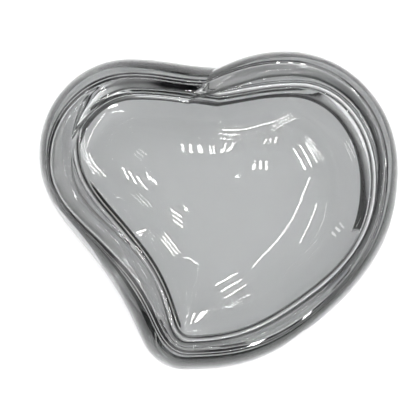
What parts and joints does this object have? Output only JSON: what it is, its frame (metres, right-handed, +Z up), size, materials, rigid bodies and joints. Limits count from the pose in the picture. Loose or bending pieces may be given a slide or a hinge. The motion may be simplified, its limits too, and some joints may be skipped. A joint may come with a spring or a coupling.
{
  "type": "heart-shaped trinket box",
  "caption": "Clear crystal trinket box in the form of a lopsided heart: a thick-walled bowl with a rounded belly, closed by a loose lid with a rounded border and a clear dished panel.",
  "frame": {"origin": "middle of the box's footprint, on the surface that the foot stands on", "axes": "+Z up, +Y from the heart's tip towards its lobes, +X towards the larger lobe"},
  "size_m": [0.127, 0.1126, 0.038],
  "materials": {
    "base_crystal": "polished clear crystal",
    "lid_crystal": "polished clear crystal"
  },
  "bodies": {
    "base": {"base": "base_crystal"},
    "lid": {"lid": "lid_crystal"}
  },
  "joints": [
    {"name": "lid_lift", "type": "slide", "parent": "base", "child": "lid", "axis": [0, 0, 1], "range_m": [0, 0.06]}
  ]
}
